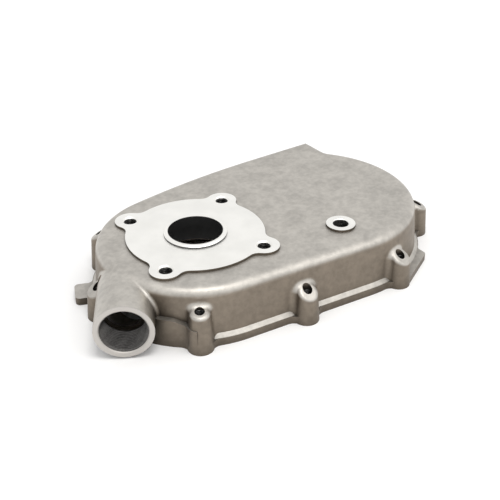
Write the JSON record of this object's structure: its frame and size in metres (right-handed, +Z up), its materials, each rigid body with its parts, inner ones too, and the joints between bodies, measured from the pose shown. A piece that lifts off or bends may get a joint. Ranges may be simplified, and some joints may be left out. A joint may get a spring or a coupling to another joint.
{
  "type": "reduction gear case",
  "caption": "Cast aluminium half of a reduction gear case: pear-shaped shell, open below, with a machined pad, a seal bore, screw bosses round its joint flange and a threaded oil spout.",
  "frame": {"origin": "axis of the seal bore at the face of the mounting pad; the joint face is 38 mm below", "axes": "+X along the line of centres towards the big end, +Y towards the straight rear side, +Z up along the bore axis, out of the pad"},
  "size_m": [0.2575, 0.1655, 0.0398],
  "materials": {
    "cast_aluminium": "satin sand-blasted casting with bright machined faces"
  },
  "bodies": {
    "root": {"gear_case": "cast_aluminium"}
  },
  "joints": []
}
